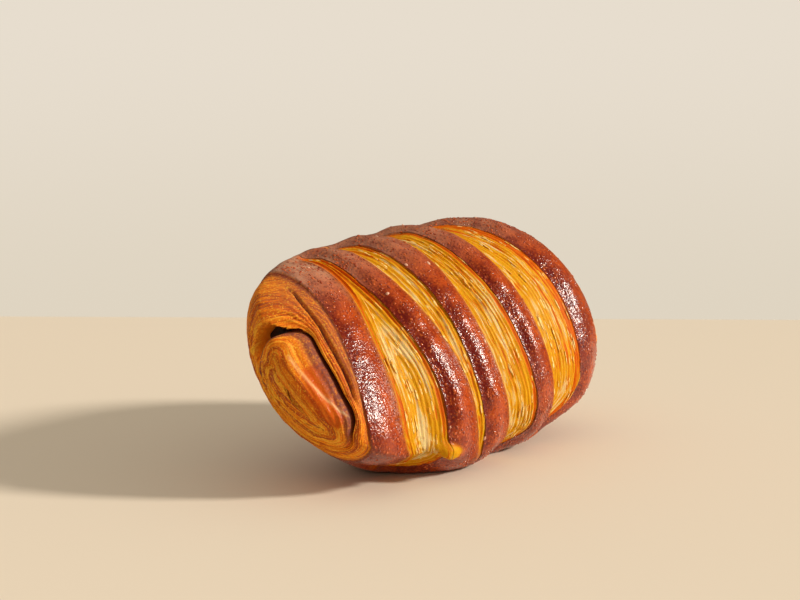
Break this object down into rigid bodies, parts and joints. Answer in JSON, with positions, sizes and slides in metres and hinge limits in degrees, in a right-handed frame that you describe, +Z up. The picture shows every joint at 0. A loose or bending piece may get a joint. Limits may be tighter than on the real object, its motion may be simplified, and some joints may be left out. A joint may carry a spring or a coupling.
{
  "type": "chocolate croissant",
  "caption": "Baked chocolate croissant: a roll of laminated dough with scored, browned crust, a spiral at each end and a chocolate stick running through it.",
  "frame": {"origin": "on the plane the pastry rests on, under the middle of its box", "axes": "+X along the roll from the end with the open spiral to the far end, -Y the front that the scored top faces, +Z up"},
  "size_m": [0.121, 0.0604, 0.0621],
  "materials": {
    "pastry": "egg-washed deep brown crust with golden torn layers between",
    "chocolate": "dull dark chocolate"
  },
  "bodies": {
    "root": {"croissant": "pastry", "chocolate_baton": "chocolate"}
  },
  "joints": []
}
